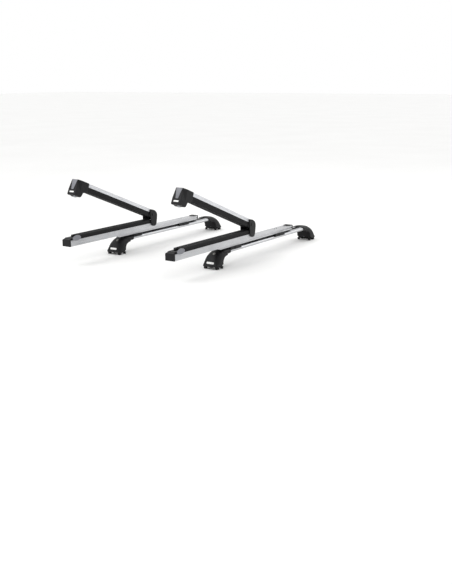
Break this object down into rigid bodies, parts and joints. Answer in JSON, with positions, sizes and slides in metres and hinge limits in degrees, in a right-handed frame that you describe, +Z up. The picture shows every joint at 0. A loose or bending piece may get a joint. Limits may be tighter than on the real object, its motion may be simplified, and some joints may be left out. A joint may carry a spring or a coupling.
{
  "type": "roof ski rack",
  "caption": "Two wing-shaped crossbars on clamp feet, each carrying a pull-out ski carrier with a hinged, rubber-lined upper arm and a push-button latch head.",
  "frame": {"origin": "under the middle of the whole rack as shown, with the carriers pulled out, at the height of the clamp jaws' tips", "axes": "+X towards the front of the car, Y along the crossbars with the pull-out arms reaching towards -Y, +Z up"},
  "size_m": [0.796, 1.44, 0.4652],
  "materials": {
    "silver": "satin anodised",
    "charcoal": "fine grain moulded",
    "rubber": "matt",
    "pad_rubber": "matt, ribbed",
    "button_grey": "satin",
    "steel": "zinc plated",
    "lock": "satin",
    "badge": "plain white"
  },
  "bodies": {
    "rack": {"front_bar": "silver", "rear_bar": "silver", "bar_strips": "rubber", "front_near_cover": "charcoal", "front_far_cover": "charcoal", "rear_near_cover": "charcoal", "rear_far_cover": "charcoal", "foot_bases": "charcoal", "foot_pads": "rubber", "outer_jaws": "charcoal", "inner_jaws": "charcoal", "clamp_bolts": "steel", "foot_badges": "badge", "front_rail": "silver", "rear_rail": "silver", "rail_caps": "charcoal", "rail_rivets": "steel", "brackets": "charcoal", "bracket_bolts": "steel", "slot_nuts": "steel"},
    "front_pull_out": {"front_slider": "silver", "front_glides": "charcoal", "front_end_block": "charcoal", "front_lower_pad": "pad_rubber", "front_hinge_housing": "charcoal", "front_hinge_pin": "steel"},
    "front_slide_release": {"front_slide_button": "button_grey"},
    "front_upper": {"front_upper_arm": "silver", "front_knuckle": "charcoal", "front_upper_pad": "pad_rubber", "front_head": "charcoal", "front_head_badge": "badge"},
    "front_press": {"front_head_button": "button_grey"},
    "front_hook": {"front_latch": "steel"},
    "front_near_lock_barrel": {"front_near_lock": "lock"},
    "front_far_lock_barrel": {"front_far_lock": "lock"},
    "rear_pull_out": {"rear_slider": "silver", "rear_glides": "charcoal", "rear_end_block": "charcoal", "rear_lower_pad": "pad_rubber", "rear_hinge_housing": "charcoal", "rear_hinge_pin": "steel"},
    "rear_slide_release": {"rear_slide_button": "button_grey"},
    "rear_upper": {"rear_upper_arm": "silver", "rear_knuckle": "charcoal", "rear_upper_pad": "pad_rubber", "rear_head": "charcoal", "rear_head_badge": "badge"},
    "rear_press": {"rear_head_button": "button_grey"},
    "rear_hook": {"rear_latch": "steel"},
    "rear_near_lock_barrel": {"rear_near_lock": "lock"},
    "rear_far_lock_barrel": {"rear_far_lock": "lock"}
  },
  "joints": [
    {"name": "front_slide", "type": "slide", "parent": "rack", "child": "front_pull_out", "axis": [0, 1, 0], "range_m": [0, 0.37]},
    {"name": "front_arm_hinge", "type": "hinge", "parent": "front_pull_out", "child": "front_upper", "pos_m": [0.362, -0.012, 0.195], "axis": [-1, 0, 0], "range_deg": [-18.4, 45]},
    {"name": "front_slide_release_press", "type": "slide", "parent": "front_pull_out", "child": "front_slide_release", "axis": [-1, 0, 0], "range_m": [0, 0.003], "stiffness_N_per_m": 1500, "springref_m": -0.002},
    {"name": "front_head_press", "type": "slide", "parent": "front_upper", "child": "front_press", "axis": [0, 0.9304, -0.3665], "range_m": [0, 0.006], "stiffness_N_per_m": 1500, "springref_m": -0.002},
    {"name": "front_hook_turn", "type": "hinge", "parent": "front_upper", "child": "front_hook", "pos_m": [0.362, -0.62086, 0.39829], "axis": [-1, 0, 0], "range_deg": [-0.5, 10.5]},
    {"name": "front_near_lock_turn", "type": "hinge", "parent": "rack", "child": "front_near_lock_barrel", "pos_m": [0.35, -0.3055, 0.0665], "axis": [0, -0.6157, 0.788], "range_deg": [0, 90]},
    {"name": "front_far_lock_turn", "type": "hinge", "parent": "rack", "child": "front_far_lock_barrel", "pos_m": [0.35, 0.6655, 0.0665], "axis": [0, 0.6157, 0.788], "range_deg": [0, 90]},
    {"name": "rear_slide", "type": "slide", "parent": "rack", "child": "rear_pull_out", "axis": [0, 1, 0], "range_m": [0, 0.37]},
    {"name": "rear_arm_hinge", "type": "hinge", "parent": "rear_pull_out", "child": "rear_upper", "pos_m": [-0.338, -0.019, 0.195], "axis": [-1, 0, 0], "range_deg": [-18.4, 45]},
    {"name": "rear_slide_release_press", "type": "slide", "parent": "rear_pull_out", "child": "rear_slide_release", "axis": [-1, 0, 0], "range_m": [0, 0.003], "stiffness_N_per_m": 1500, "springref_m": -0.002},
    {"name": "rear_head_press", "type": "slide", "parent": "rear_upper", "child": "rear_press", "axis": [0, 0.9304, -0.3665], "range_m": [0, 0.006], "stiffness_N_per_m": 1500, "springref_m": -0.002},
    {"name": "rear_hook_turn", "type": "hinge", "parent": "rear_upper", "child": "rear_hook", "pos_m": [-0.338, -0.62786, 0.39829], "axis": [-1, 0, 0], "range_deg": [-0.5, 10.5]},
    {"name": "rear_near_lock_turn", "type": "hinge", "parent": "rack", "child": "rear_near_lock_barrel", "pos_m": [-0.35, -0.2855, 0.0665], "axis": [0, -0.6157, 0.788], "range_deg": [0, 90]},
    {"name": "rear_far_lock_turn", "type": "hinge", "parent": "rack", "child": "rear_far_lock_barrel", "pos_m": [-0.35, 0.6455, 0.0665], "axis": [0, 0.6157, 0.788], "range_deg": [0, 90]}
  ],
  "couplings": [
    {"joint": "front_hook_turn", "follows": "front_head_press", "rad_per_m": 29.089},
    {"joint": "rear_hook_turn", "follows": "rear_head_press", "rad_per_m": 29.089}
  ]
}
